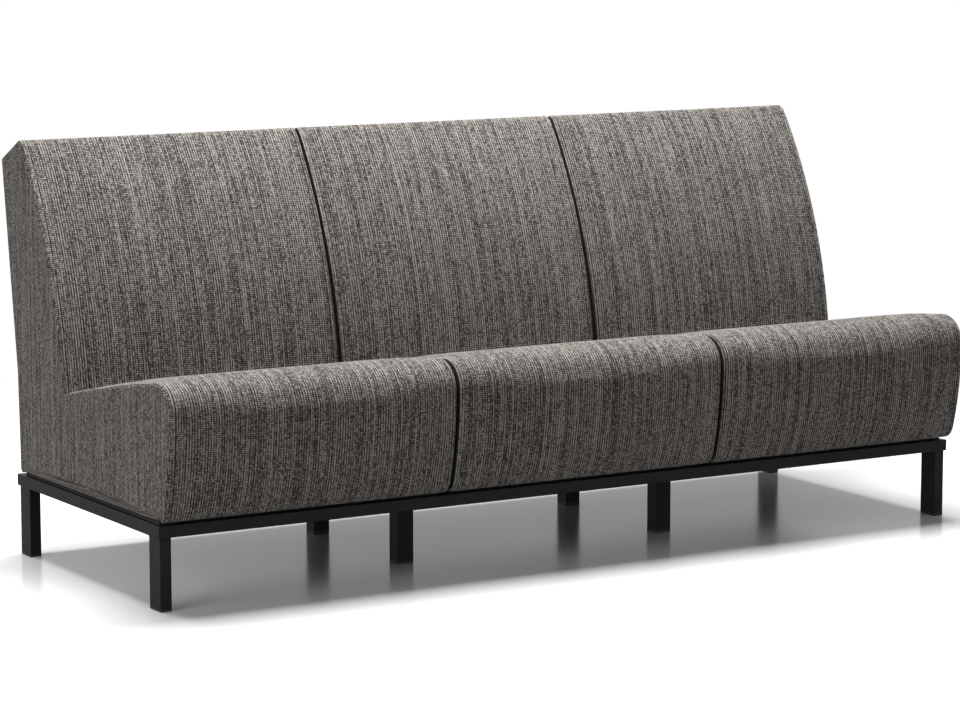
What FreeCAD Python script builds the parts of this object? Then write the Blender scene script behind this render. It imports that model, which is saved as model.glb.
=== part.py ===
import FreeCAD, Part
import math
import os
from FreeCAD import Vector

# Armless sofa: three upholstered seat and back units side by side, screwed down
# on one welded frame of black steel tube. Millimetres, +X along the sofa to the
# right as seen from the front, +Y from the front to the rear, +Z up. Heights are
# from the floor. Until the last step Y is measured from the front face of the
# steel frame, and X from the middle of the sofa.

# Steel frame
frame_width = 1980.0
leg_height = 150.0
rail_height = 25.0
rail_width = 50.0
tube_wall = 2.0
tube_corner = 1.5
corner_leg_width = 25.0
corner_leg_depth = 50.0
leg_inset = 4.0
inner_leg_side = 38.0
front_inner_leg_setback = 168.0
rear_inner_leg_setback = 113.0

# Plug glides under the legs
glide_foot = 6.0
glide_edge = 1.8
glide_plug = 18.0
glide_clearance = 0.15

# Screws from below through the rails, into tee nuts in the units
screw_diameter = 6.0
screw_hole_clearance = 0.5
screw_head_diameter = 13.0
screw_head_height = 4.0
screw_socket = 4.0
screw_socket_depth = 2.5
screw_spread = 420.0
thread_clearance = 0.05
tee_nut_barrel = 8.0
tee_nut_depth = 12.0
tee_nut_flange = 15.0
tee_nut_flange_thickness = 1.5
tee_nut_gap = 0.5
barrel_clearance = 0.05

# Upholstered units, seen from the side
unit_names = ["left", "middle", "right"]
unit_gap = 1.6
cover_reveal = 7.0
seat_height = 469.0
seat_drop = 80.0
seat_reach = 441.0
back_depth = 251.0
seat_overhang = 61.0
seat_roll_drop = 79.0
seat_roll_reach = 15.0
front_tuck = 10.0
front_tuck_depth = 25.0
front_tuck_rise = 30.0
back_height = 894.0
back_run = 186.0
back_roll_drop = 18.0
back_roll_run = 24.0
back_top_flat = 6.0
rear_overhang = 53.0
bevel_drop = 46.0
rear_waist_height = 395.0
rear_waist_setback = 12.0
rear_foot_setback = 19.0

# Sagitta of each bowed stretch of the outline, as a share of its chord
tuck_bow = 0.12
front_bow = 0.031
seat_roll_bow = 0.25
seat_bow = 0.01
back_bow = 0.06
back_roll_bow = 0.082

# Crown of the cushions towards their ends, the shares of its length at which it
# is drawn, and the radius of the cushions' end edges
crown_depth = 8.0
crown_length = 120.0
crown_steps = [0.27, 0.6, 1.0]
edge_radius = 8.0

# Layers and timber inside a unit
cover_thickness = 4.0
panel_thickness = 18.0
rear_board_thickness = 5.0
base_board_thickness = 18.0
base_board_side_setback = 8.0
front_board_setback = 16.0
seat_foam_thickness = 76.0
post_depth = 100.0
post_top_drop = 30.0
back_rail_thickness = 22.0
back_rail_height = 60.0
back_rail_offset = 20.0
seat_rail_thickness = 25.0
seat_rail_lead = 20.0
strap_thickness = 2.0
strap_width = 60.0
strap_landing = 40.0
seat_strap_count = 5
back_strap_count = 4
dust_cover_thickness = 1.0
dust_cover_clearance = 5.0

frame_depth = seat_reach + back_depth
rail_top = leg_height + rail_height
cover_bottom = rail_top + cover_reveal
base_top = rail_top + base_board_thickness
unit_pitch = frame_width / len(unit_names)
unit_width = unit_pitch - unit_gap


def unit_left(index):
    """X of the left end of a unit."""
    return -frame_width / 2 + index * unit_pitch + unit_gap / 2


def box(low, high):
    """Box between two corners, each (x, y, z)."""
    size = [high[i] - low[i] for i in range(3)]
    return Part.makeBox(size[0], size[1], size[2], Vector(*low))


def round_bar(place, z, diameter, height):
    """Upright round bar at place (x, y), standing on height z."""
    return Part.makeCylinder(diameter / 2, height, Vector(place[0], place[1], z))


# Outline of a unit in the middle of its width. Every point is (y, z), then how
# it moves as the crown falls towards the ends, how it moves in with the rounding
# of the end edges, and how it moves in from one layer to the next.
rear_top = frame_depth + rear_overhang
rear_top_height = back_height - bevel_drop
rear_waist = frame_depth - rear_waist_setback
rear_lean = (rear_top - rear_waist) / (rear_top_height - rear_waist_height)
rear_mitre = 0.62
crease = (seat_reach, seat_height - seat_drop)
rear_edge = (
    (rear_top, rear_top_height),
    (0, 0),
    (-rear_lean, -1),
    (-1 - rear_mitre * rear_lean, -rear_mitre),
)

front_points = [
    ((-front_tuck, cover_bottom), (0.25, 0), (1, 0), (1, 0)),
    ((-front_tuck - front_tuck_depth, cover_bottom + front_tuck_rise), (0.6, 0.2), (0.95, 0.3), (0.95, 0.3)),
    ((-seat_overhang, seat_height - seat_roll_drop), (1, 0), (1, 0), (1, 0)),
    ((seat_roll_reach, seat_height), (0, -1), (0, -1), (0, -1)),
    (crease, (0.5, -1), (1, -1), (0, -1)),
]
front_bows = [tuck_bow, front_bow, seat_roll_bow, seat_bow]

back_roll = (seat_reach + back_run, back_height - back_roll_drop)
back_top_front = seat_reach + back_run + back_roll_run
back_points = [
    (crease, (0.5, -1), (1, -1), (1, 0)),
    (back_roll, (0.4, -0.2), (0.8, -0.6), (0.8, -0.6)),
    ((back_top_front, back_height), (0, 0), (0, -1), (0, -1)),
    ((back_top_front + back_top_flat, back_height), (0, 0), (0, -1), (-0.23, -0.97)),
    rear_edge,
]
back_bows = [back_bow, back_roll_bow, 0, 0]

rear_points = [
    rear_edge,
    ((rear_waist, rear_waist_height), (0, 0), (0, 0), (-1, 0)),
    ((frame_depth - rear_foot_setback, cover_bottom), (0, 0), (0, 0), (-1, 0)),
]
rear_bows = [0, 0]


def crown_fall(x):
    """How far the crown has fallen at x from a cushion's nearer end."""
    return crown_depth * (1 - min(x, crown_length) / crown_length) ** 2


def rounding(x):
    """How far the rounded end edge has drawn in at x from the end."""
    inside = edge_radius - min(x, edge_radius)
    return edge_radius - math.sqrt(edge_radius ** 2 - inside ** 2)


def moved(points, x, layer):
    """The outline's points at x from a cushion's nearer end, layer below its surface."""
    result = []
    for place, fall, turn, inward in points:
        result.append([
            place[i] + fall[i] * crown_fall(x) + turn[i] * rounding(x) + inward[i] * layer
            for i in range(2)])
    return result


def spans(points, bows):
    """Start, middle or None, and end of each stretch of an outline."""
    result = []
    for start, end, bow in zip(points, points[1:], bows):
        run = (end[0] - start[0], end[1] - start[1])
        middle = None
        if bow:
            middle = ((start[0] + end[0]) / 2 - run[1] * bow, (start[1] + end[1]) / 2 + run[0] * bow)
        result.append((start, middle, end))
    return result


def backwards(stretch):
    """The same stretches, followed the other way."""
    return [(end, middle, start) for start, middle, end in reversed(stretch)]


def straight(points):
    """Straight stretches from point to point."""
    return spans(points, [0] * (len(points) - 1))


def closed_wire(stretch, x):
    """Wire of a closed outline, in the upright plane at x."""
    edges = []
    for start, middle, end in stretch:
        first = Vector(x, *start)
        last = Vector(x, *end)
        if middle is None:
            edges.append(Part.LineSegment(first, last).toShape())
        else:
            edges.append(Part.Arc(first, Vector(x, *middle), last).toShape())
    return Part.Wire(edges)


def prism(points, x_low, x_high):
    """Straight piece along X with a polygon (y, z) for its section."""
    wire = closed_wire(straight(points + points[:1]), x_low)
    return Part.Face(wire).extrude(Vector(x_high - x_low, 0, 0))


def strip_section(points, bows, x):
    """Closed outline of a covering strip at x from the nearer end."""
    outer = spans(moved(points, x, 0), bows)
    inner = spans(moved(points, x, cover_thickness), bows)
    end = straight([outer[-1][2], inner[-1][2]])
    start = straight([inner[0][0], outer[0][0]])
    return outer + end + backwards(inner) + start


def stations(start):
    """Distances from a unit's left end at which its cushions are drawn."""
    near = {start, cover_thickness, edge_radius} | {share * crown_length for share in crown_steps}
    near = sorted(place for place in near if place >= start)
    return near + [unit_width - place for place in reversed(near)]


def lofted(section, left, start):
    """Cushion form along X: section(x) gives its outline at x from the nearer end."""
    wires = []
    for place in stations(start):
        nearer = min(place, unit_width - place)
        wires.append(closed_wire(section(nearer), left + place))
    return Part.makeLoft(wires, True, True)


# Lines that the timber follows
timber_layer = cover_thickness + rear_board_thickness
post_top = back_height - bevel_drop - post_top_drop
deck_slope = seat_drop / (seat_reach - seat_roll_reach)
shelf_front = seat_reach - seat_rail_lead


def deck_height(y):
    """Underside of the seat foam over the webbing."""
    top = seat_height - deck_slope * (y - seat_roll_reach)
    return top - cover_thickness - seat_foam_thickness


def rear_line(z, layer):
    """Y of the rear outline at height z, layer below its surface."""
    points = moved(rear_points, crown_length, layer)
    for upper, lower in zip(points, points[1:]):
        if z >= lower[1]:
            break
    share = (z - lower[1]) / (upper[1] - lower[1])
    return lower[0] + share * (upper[0] - lower[0])


shelf_height = deck_height(shelf_front)
post_foot = rear_line(shelf_height, timber_layer) - post_depth
post_head = rear_line(post_top, timber_layer) - post_depth


def post_front(z):
    """Front edge of the back posts, straight from the seat to the top."""
    share = (z - shelf_height) / (post_top - shelf_height)
    return post_foot + share * (post_head - post_foot)


def seat_foam_section(x):
    """Foam over the webbing, down in front of the front board."""
    outer = spans(moved(front_points, x, cover_thickness), front_bows)
    toe = outer[0][0]
    heel = outer[-1][2]
    inside = [
        heel,
        (heel[0], shelf_height),
        (shelf_front, shelf_height),
        (front_board_setback, deck_height(front_board_setback)),
        (front_board_setback, toe[1]),
        toe,
    ]
    return outer + straight(inside)


def back_foam_section(x):
    """Foam in front of the back webbing and over the top of the posts."""
    outer = spans(moved(back_points, x, cover_thickness), back_bows)
    toe = outer[0][0]
    rim = outer[-1][2]
    inside = [
        rim,
        (rear_line(post_top, cover_thickness), post_top),
        (post_front(post_top) - strap_thickness, post_top),
        (post_front(shelf_height) - strap_thickness, shelf_height),
        (toe[0], shelf_height),
        toe,
    ]
    return outer + straight(inside)


def seat_cover_section(x):
    return strip_section(front_points, front_bows, x)


def back_cover_section(x):
    return strip_section(back_points, back_bows, x)


def rear_cover_section(x):
    return strip_section(rear_points, rear_bows, x)


def end_covers(left):
    """The two L-shaped end panels, inside the strips' edges."""
    front = spans(moved(front_points, 0, cover_thickness), front_bows)
    back = spans(moved(back_points, 0, cover_thickness), back_bows)
    rear = spans(moved(rear_points, 0, cover_thickness), rear_bows)
    hem = straight([rear[-1][2], front[0][0]])
    corner = straight([front[-1][2], back[0][0]])
    face = Part.Face(closed_wire(front + corner + back + rear + hem, 0))
    panel = face.extrude(Vector(cover_thickness, 0, 0))
    near = panel.translated(Vector(left, 0, 0))
    far = panel.translated(Vector(left + unit_width - cover_thickness, 0, 0))
    return Part.makeCompound([near, far])


def side_panels(left):
    """Seat side and back post in one L-shaped board, at both ends."""
    outline = [
        (front_board_setback, base_top),
        (front_board_setback, deck_height(front_board_setback) - strap_thickness),
        (shelf_front, shelf_height - strap_thickness),
        (post_front(shelf_height), shelf_height - strap_thickness),
        (post_front(post_top), post_top),
        (rear_line(post_top, timber_layer), post_top),
        (rear_line(rear_waist_height, timber_layer), rear_waist_height),
        (rear_line(base_top, timber_layer), base_top),
    ]
    near = left + cover_thickness
    far = left + unit_width - cover_thickness - panel_thickness
    return Part.makeCompound([prism(outline, x, x + panel_thickness) for x in (near, far)])


def between_panels(left):
    """X range between a unit's side panels."""
    inset = cover_thickness + panel_thickness
    return left + inset, left + unit_width - inset


def front_board(left):
    """Upright board behind the seat's front, its top edge under the webbing."""
    low, high = between_panels(left)
    inner = front_board_setback + panel_thickness
    outline = [
        (front_board_setback, base_top),
        (front_board_setback, deck_height(front_board_setback) - strap_thickness),
        (inner, deck_height(inner) - strap_thickness),
        (inner, base_top),
    ]
    return prism(outline, low, high)


def seat_rear_rail(left):
    """Flat board that carries the rear ends of the seat straps."""
    low, high = between_panels(left)
    top = shelf_height - strap_thickness
    return box((low, shelf_front, top - seat_rail_thickness), (high, post_foot, top))


def leaning_board(bottom, thickness, x_low, x_high, height):
    """Board along X that leans with the back posts' front edge."""
    top = bottom + height
    outline = [
        (post_front(bottom), bottom),
        (post_front(top), top),
        (post_front(top) + thickness, top),
        (post_front(bottom) + thickness, bottom),
    ]
    return prism(outline, x_low, x_high)


lower_rail_bottom = shelf_height + back_rail_offset
upper_rail_bottom = post_top - back_rail_height


def back_rails(left):
    """Two boards between the posts, which carry the back straps."""
    low, high = between_panels(left)
    heights = (lower_rail_bottom, upper_rail_bottom)
    return Part.makeCompound(
        [leaning_board(z, back_rail_thickness, low, high, back_rail_height) for z in heights])


def strap_places(left, count):
    """Left edges of evenly spaced straps."""
    low, high = between_panels(left)
    space = (high - low - count * strap_width) / (count + 1)
    return [low + space + index * (strap_width + space) for index in range(count)]


def webbing(left):
    """Elastic straps: front to rear under the seat, upright behind the back."""
    landing = shelf_front + strap_landing
    seat_strap = [
        (front_board_setback, deck_height(front_board_setback)),
        (shelf_front, shelf_height),
        (landing, shelf_height),
        (landing, shelf_height - strap_thickness),
        (shelf_front, shelf_height - strap_thickness),
        (front_board_setback, deck_height(front_board_setback) - strap_thickness),
    ]
    straps = [prism(seat_strap, x, x + strap_width) for x in strap_places(left, seat_strap_count)]
    for x in strap_places(left, back_strap_count):
        straps.append(leaning_board(
            lower_rail_bottom, -strap_thickness, x, x + strap_width, post_top - lower_rail_bottom))
    return Part.makeCompound(straps)


def rear_board(left):
    """Thin board over the backs of the posts, from their top to the hem."""
    low = left + cover_thickness
    high = left + unit_width - cover_thickness
    outline = []
    for z in (post_top, rear_waist_height, cover_bottom):
        outline.append((rear_line(z, cover_thickness), z))
    for z in (cover_bottom, rear_waist_height, post_top):
        outline.append((rear_line(z, timber_layer), z))
    return prism(outline, low, high)


def screw_places(left):
    """(x, y) of a unit's four fixing screws."""
    middle = left + unit_width / 2
    columns = (middle - screw_spread / 2, middle + screw_spread / 2)
    room = tee_nut_flange / 2 + tee_nut_gap
    front = front_board_setback + panel_thickness + room
    rows = (front, rear_line(cover_bottom, timber_layer) - room)
    return [(x, y) for y in rows for x in columns]


def base_board(left):
    """Bottom of the unit, bored for the tee nuts."""
    low = (left + base_board_side_setback, front_board_setback, rail_top)
    rear = rear_line(cover_bottom, timber_layer)
    board = box(low, (left + unit_width - base_board_side_setback, rear, base_top))
    hole = tee_nut_barrel + 2 * barrel_clearance
    for place in screw_places(left):
        board = board.cut(round_bar(place, rail_top, hole, base_board_thickness))
    return board


def dust_cover(index):
    """Thin cloth under the base board, inside the rails."""
    outer = rail_width + dust_cover_clearance
    inner = rail_width / 2 + dust_cover_clearance
    start = -frame_width / 2 + index * unit_pitch
    low = start + (outer if index == 0 else inner)
    last = index == len(unit_names) - 1
    high = start + unit_pitch - (outer if last else inner)
    return box((low, outer, rail_top - dust_cover_thickness), (high, frame_depth - outer, rail_top))


def rounded_bar(width, depth, length, corner):
    """Upright bar on the origin with rounded corners."""
    bar = Part.makeBox(width, depth, length, Vector(-width / 2, -depth / 2, 0))
    upright = [edge for edge in bar.Edges if abs(edge.tangentAt(edge.FirstParameter).z) > 0.99]
    return bar.makeFillet(corner, upright)


def tube(width, depth, length):
    """Upright rectangular tube on the origin."""
    outer = rounded_bar(width, depth, length, tube_corner)
    bore_width = width - 2 * tube_wall
    bore_depth = depth - 2 * tube_wall
    bore = Part.makeBox(bore_width, bore_depth, length, Vector(-bore_width / 2, -bore_depth / 2, 0))
    return outer.cut(bore)


def rail_along_x(length):
    """Rail with its front lower left corner on the origin."""
    rail = tube(rail_height, rail_width, length)
    rail.rotate(Vector(0, 0, 0), Vector(0, 1, 0), 90)
    return rail.translated(Vector(0, rail_width / 2, rail_height / 2))


def rail_along_y(length):
    """Rail with its front lower left corner on the origin."""
    rail = tube(rail_width, rail_height, length)
    rail.rotate(Vector(0, 0, 0), Vector(1, 0, 0), -90)
    return rail.translated(Vector(rail_width / 2, 0, rail_height / 2))


def mitred(rail, plan):
    """The part of a rail over a plan outline of (x, y) points."""
    points = [Vector(x, y, leg_height) for x, y in plan + plan[:1]]
    block = Part.Face(Part.makePolygon(points)).extrude(Vector(0, 0, rail_height))
    return rail.common(block)


def long_rail(front):
    """Front or rear rail, mitred to the end rails and drilled for the screws."""
    half = frame_width / 2
    edge = 0 if front else frame_depth
    inner = edge + (rail_width if front else -rail_width)
    rail = rail_along_x(frame_width).translated(Vector(-half, min(edge, inner), leg_height))
    plan = [(-half, edge), (half, edge), (half - rail_width, inner), (rail_width - half, inner)]
    rail = mitred(rail, plan)
    hole = screw_diameter + 2 * screw_hole_clearance
    for index in range(len(unit_names)):
        for place in screw_places(unit_left(index)):
            if min(edge, inner) < place[1] < max(edge, inner):
                rail = rail.cut(round_bar(place, leg_height, hole, rail_height))
    return rail


def end_rail(side):
    """Left (-1) or right (1) end rail, mitred to the long rails."""
    edge = side * frame_width / 2
    inner = edge - side * rail_width
    rail = rail_along_y(frame_depth).translated(Vector(min(edge, inner), 0, leg_height))
    plan = [(edge, 0), (edge, frame_depth), (inner, frame_depth - rail_width), (inner, rail_width)]
    return mitred(rail, plan)


def cross_rail(x):
    """Rail under the joint of two units, between the long rails."""
    rail = rail_along_y(frame_depth - 2 * rail_width)
    return rail.translated(Vector(x - rail_width / 2, rail_width, leg_height))


def leg(place, width, depth):
    """Square or oblong leg between its glide and the rails."""
    upright = tube(width, depth, leg_height - glide_foot)
    return upright.translated(Vector(place[0], place[1], glide_foot))


def glide(place, width, depth):
    """Moulded foot with a plug that fills the end of a leg."""
    foot = rounded_bar(width, depth, glide_foot, tube_corner)
    rim = [edge for edge in foot.Edges if edge.BoundBox.ZMax < 0.001]
    foot = foot.makeFillet(glide_edge, rim)
    slack = 2 * (tube_wall + glide_clearance)
    plug = Part.makeBox(width - slack, depth - slack, glide_plug)
    plug.translate(Vector((slack - width) / 2, (slack - depth) / 2, glide_foot))
    return foot.fuse(plug).translated(Vector(place[0], place[1], 0))


def corner_leg_places():
    """Name and (x, y) of each corner leg's middle."""
    half = frame_width / 2 - leg_inset - corner_leg_width / 2
    front = leg_inset + corner_leg_depth / 2
    rear = frame_depth - front
    return {
        "front_left_leg": (-half, front),
        "front_right_leg": (half, front),
        "rear_left_leg": (-half, rear),
        "rear_right_leg": (half, rear),
    }


def joint_places():
    """Name and X of each joint between two units."""
    return {
        "left": -frame_width / 2 + unit_pitch,
        "right": frame_width / 2 - unit_pitch,
    }


def inner_leg_places():
    """Name and (x, y) of each leg under a cross rail."""
    front = front_inner_leg_setback + inner_leg_side / 2
    rear = frame_depth - rear_inner_leg_setback - inner_leg_side / 2
    places = {}
    for side, x in joint_places().items():
        places["front_inner_leg_" + side] = (x, front)
        places["rear_inner_leg_" + side] = (x, rear)
    return places


def fixing_screw(place):
    """Button-head screw from below the rail into the tee nut."""
    head = round_bar(place, leg_height - screw_head_height, screw_head_diameter, screw_head_height)
    rim = [edge for edge in head.Edges if edge.BoundBox.ZMax < leg_height - screw_head_height / 2]
    head = head.makeFillet(screw_head_height / 2, rim)
    corner = screw_socket / math.sqrt(3)
    points = []
    for turn in range(7):
        angle = math.radians(60 * turn)
        x = place[0] + corner * math.cos(angle)
        y = place[1] + corner * math.sin(angle)
        points.append(Vector(x, y, leg_height - screw_head_height))
    socket = Part.Face(Part.makePolygon(points)).extrude(Vector(0, 0, screw_socket_depth))
    shank = round_bar(place, leg_height, screw_diameter, base_top - leg_height)
    return head.cut(socket).fuse(shank)


def tee_nut(place):
    """Flanged nut pressed down into the base board."""
    flange = round_bar(place, base_top, tee_nut_flange, tee_nut_flange_thickness)
    barrel = round_bar(place, base_top - tee_nut_depth, tee_nut_barrel, tee_nut_depth)
    length = tee_nut_depth + tee_nut_flange_thickness
    bore = round_bar(place, base_top - tee_nut_depth, screw_diameter + 2 * thread_clearance, length)
    return flange.fuse(barrel).cut(bore)


def build_nodes():
    """Every piece by name, in the frame that the sizes are given in."""
    nodes = {
        "front_rail": long_rail(True),
        "rear_rail": long_rail(False),
        "left_end_rail": end_rail(-1),
        "right_end_rail": end_rail(1),
    }
    for side, x in joint_places().items():
        nodes[side + "_cross_rail"] = cross_rail(x)
    glides = []
    for name, place in corner_leg_places().items():
        nodes[name] = leg(place, corner_leg_width, corner_leg_depth)
        glides.append(glide(place, corner_leg_width, corner_leg_depth))
    for name, place in inner_leg_places().items():
        nodes[name] = leg(place, inner_leg_side, inner_leg_side)
        glides.append(glide(place, inner_leg_side, inner_leg_side))
    nodes["leg_glides"] = Part.makeCompound(glides)
    screws = []
    nuts = []
    for index, unit in enumerate(unit_names):
        left = unit_left(index)
        for place in screw_places(left):
            screws.append(fixing_screw(place))
            nuts.append(tee_nut(place))
        nodes[unit + "_base_board"] = base_board(left)
        nodes[unit + "_dust_cover"] = dust_cover(index)
        nodes[unit + "_side_panels"] = side_panels(left)
        nodes[unit + "_front_board"] = front_board(left)
        nodes[unit + "_seat_rear_rail"] = seat_rear_rail(left)
        nodes[unit + "_back_rails"] = back_rails(left)
        nodes[unit + "_rear_board"] = rear_board(left)
        nodes[unit + "_webbing"] = webbing(left)
        nodes[unit + "_seat_foam"] = lofted(seat_foam_section, left, cover_thickness)
        nodes[unit + "_back_foam"] = lofted(back_foam_section, left, cover_thickness)
        nodes[unit + "_seat_cover"] = lofted(seat_cover_section, left, 0)
        nodes[unit + "_back_cover"] = lofted(back_cover_section, left, 0)
        nodes[unit + "_rear_cover"] = lofted(rear_cover_section, left, 0)
        nodes[unit + "_end_covers"] = end_covers(left)
    nodes["fixing_screws"] = Part.makeCompound(screws)
    nodes["tee_nuts"] = Part.makeCompound(nuts)
    return nodes


def main():
    """Write every piece, with the origin under the middle of the whole sofa."""
    nodes = build_nodes()
    whole = Part.makeCompound(list(nodes.values())).BoundBox
    shift = Vector(0, -(whole.YMin + whole.YMax) / 2, 0)
    os.makedirs("parts", exist_ok=True)
    for name, shape in nodes.items():
        shape.translated(shift).exportStep("parts/" + name + ".step")


main()
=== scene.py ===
# %% [markdown]
# # An armless three-seat sofa
#
# The sofa is three equal upholstered units on one low base of black steel tube.
# The steel, timber and screws are exact solids already, so they are loaded as
# they are and only need their finishes. The upholstery is soft: it is made here,
# as crowned foam cushions in sewn covers, on the outline that the solids give.

import math

import bmesh
import bpy
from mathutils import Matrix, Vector
from mathutils.geometry import delaunay_2d_cdt, tessellate_polygon


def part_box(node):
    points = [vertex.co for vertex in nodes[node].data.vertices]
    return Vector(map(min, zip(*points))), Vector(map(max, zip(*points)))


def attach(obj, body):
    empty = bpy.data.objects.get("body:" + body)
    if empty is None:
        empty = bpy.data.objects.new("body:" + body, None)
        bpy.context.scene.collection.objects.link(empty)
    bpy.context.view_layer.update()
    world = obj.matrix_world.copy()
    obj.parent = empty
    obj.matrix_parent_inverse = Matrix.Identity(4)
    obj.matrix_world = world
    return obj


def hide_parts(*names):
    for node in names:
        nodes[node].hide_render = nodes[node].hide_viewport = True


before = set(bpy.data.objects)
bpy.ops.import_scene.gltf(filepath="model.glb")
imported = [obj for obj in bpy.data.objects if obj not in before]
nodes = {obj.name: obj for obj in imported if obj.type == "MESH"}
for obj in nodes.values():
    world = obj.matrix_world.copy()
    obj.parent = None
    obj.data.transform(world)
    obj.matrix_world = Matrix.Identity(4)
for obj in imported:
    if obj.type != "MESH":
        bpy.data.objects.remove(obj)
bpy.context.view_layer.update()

# %% [markdown]
# ## Lengths and colours
#
# Blender works in metres and in linear light. Upholstery is drawn in millimetres
# and colours are picked as sRGB hex values, so two small functions turn one into
# the other. Writing the numbers that a maker would use keeps them easy to check.

# %% Units and colours
MM = 0.001


def linear(hex_colour):
    """Linear RGBA of an sRGB hex colour."""
    channels = [int(hex_colour[i:i + 2], 16) / 255 for i in (0, 2, 4)]
    bent = [c / 12.92 if c <= 0.04045 else ((c + 0.055) / 1.055) ** 2.4 for c in channels]
    return (*bent, 1.0)


print("mid grey is", [round(c, 3) for c in linear("808080")])

# %% [markdown]
# ## Camera
#
# The picture is taken from the front left, a little above the sofa, with a long
# lens, so that upright edges stay upright and the far end is hardly smaller. The
# camera is placed from the front left floor corner of the base. A camera looks
# along its own -Z, so it is tipped up from the floor and then turned to the side.

# %% Camera
base_low, base_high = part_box("front_rail")
floor_corner = Vector((base_low.x, base_low.y, 0))
camera_offset = Vector((-2.924, -6.071, 1.502))
camera_azimuth = -31.129
camera_elevation = 8.421
lens_mm = 129.5

camera_data = bpy.data.cameras.new("camera")
camera_data.sensor_width = 36
camera_data.lens = lens_mm
camera_data.clip_end = 100
camera = bpy.data.objects.new("camera", camera_data)
camera.location = floor_corner + camera_offset
camera.rotation_euler = (math.radians(90 - camera_elevation), 0, math.radians(camera_azimuth))
bpy.context.scene.collection.objects.link(camera)
bpy.context.scene.camera = camera
bpy.context.scene.view_settings.view_transform = "Standard"
print("camera at", [round(c, 3) for c in camera.location])

# %% [markdown]
# ## Nodes
#
# Every finish is a small graph of shader nodes. One function adds a node, sets
# its options and fills its inputs, each with a value, with a node, whose first
# output is linked, or with one output of a node. That keeps a whole material
# readable from top to bottom.

# %% Node helper
def add(tree, kind, inputs=None, **settings):
    """Adds a node with its settings, and gives its inputs a value or a link."""
    made = tree.nodes.new("ShaderNode" + kind)
    for name, value in settings.items():
        setattr(made, name, value)
    for name, value in (inputs or {}).items():
        if isinstance(value, bpy.types.Node):
            value = next(output for output in value.outputs if output.enabled)
        if isinstance(value, bpy.types.NodeSocket):
            tree.links.new(value, made.inputs[name])
        else:
            made.inputs[name].default_value = value
    return made


def new_material(name, metallic=0.0, roughness=0.5, ior=1.5, specular=0.5):
    """A material with a plain shader: (material, its node tree, its shader)."""
    material = bpy.data.materials.new(name)
    material.use_nodes = True
    tree = material.node_tree
    shader = tree.nodes["Principled BSDF"]
    shader.inputs["Metallic"].default_value = metallic
    shader.inputs["Roughness"].default_value = roughness
    shader.inputs["IOR"].default_value = ior
    shader.inputs["Specular IOR Level"].default_value = specular
    return material, tree, shader


print("two helpers:", add.__name__, "and", new_material.__name__)


# %% [markdown]
# ## Studio
#
# A catalogue picture has a white ground that keeps the object's soft shadow and,
# on a polished floor, a faint reflection of its legs. The floor is a pale lacquered
# disc. The camera sees it nearly white, and further out plain white, so that no
# horizon shows. As a lamp on the sofa it counts as darker, or its bounce would
# lighten the fronts, which are in shade.

# %% Floor
floor_radius = 14.0
floor_sides = 96
shadow_reach = 1.7
white_reach = 2.6
floor_tone = 0.95
floor_bounce = 0.28

floor_data = bpy.data.meshes.new("floor")
turns = [math.tau * i / floor_sides for i in range(floor_sides)]
rim = [(math.cos(turn) * floor_radius, math.sin(turn) * floor_radius, 0) for turn in turns]
floor_data.from_pydata(rim, [], [list(range(floor_sides))])
floor = bpy.data.objects.new("floor", floor_data)
bpy.context.scene.collection.objects.link(floor)

floor_lacquer, tree, shader = new_material("pale_floor_lacquer", roughness=0.17, ior=1.45, specular=0.12)
rays = add(tree, "LightPath")
tone = add(tree, "MapRange", {"Value": rays.outputs["Is Camera Ray"], "To Min": floor_bounce,
                              "To Max": floor_tone})
tree.links.new(tone.outputs[0], shader.inputs["Base Color"])
place = add(tree, "TexCoord")
distance = add(tree, "VectorMath", {0: place.outputs["Object"]}, operation="LENGTH")
far = add(tree, "MapRange", {"Value": distance.outputs["Value"], "From Min": shadow_reach,
                             "From Max": white_reach}, interpolation_type="SMOOTHSTEP")
seen = add(tree, "Math", {0: far, 1: rays.outputs["Is Camera Ray"]}, operation="MULTIPLY")
white = add(tree, "Emission", {"Color": (1, 1, 1, 1), "Strength": 1.0})
blend = add(tree, "MixShader", {0: seen, 1: shader.outputs[0], 2: white})
tree.links.new(blend.outputs[0], tree.nodes["Material Output"].inputs["Surface"])
floor_data.materials.append(floor_lacquer)
print("floor", floor_radius, "m in radius, plain white beyond", white_reach, "m")

# %% [markdown]
# The world could be a picture of a studio, but one plain colour lights evenly and
# needs no file. It is white where the camera or a reflection looks, and dim as a
# light, so that it lifts the shadows without washing out the fabric.

# %% World
world_light = 0.20

world = bpy.data.worlds.new("studio")
world.use_nodes = True
bpy.context.scene.world = world
tree = world.node_tree
rays = add(tree, "LightPath")
mirrored = add(tree, "Math", {0: rays.outputs["Is Camera Ray"], 1: rays.outputs["Is Glossy Ray"]},
               operation="MAXIMUM")
shown = add(tree, "Math", {0: mirrored, 1: rays.outputs["Is Transmission Ray"]}, operation="MAXIMUM")
strength = add(tree, "MapRange", {"Value": shown, "To Min": world_light, "To Max": 1.0})
background = tree.nodes["Background"]
background.inputs["Color"].default_value = (1, 1, 1, 1)
tree.links.new(strength.outputs["Result"], background.inputs["Strength"])
print("the world lights at", world_light)


# %% [markdown]
# Two soft boxes do the rest. A wide one overhead lights the seats and leaves the
# fronts in shade, and a weak one at the left opens up the end of the sofa. Large
# area lamps give soft shadows, as the diffusers of a real studio do.

# %% Lamps
def soft_box(name, place, target, width, depth, watts):
    """A rectangular lamp at place, facing target."""
    data = bpy.data.lights.new(name, "AREA")
    data.shape = "RECTANGLE"
    data.size = width
    data.size_y = depth
    data.energy = watts
    lamp = bpy.data.objects.new(name, data)
    lamp.location = place
    lamp.rotation_euler = (Vector(target) - Vector(place)).to_track_quat("-Z", "Y").to_euler()
    bpy.context.scene.collection.objects.link(lamp)
    print(name, watts, "watts")


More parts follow.
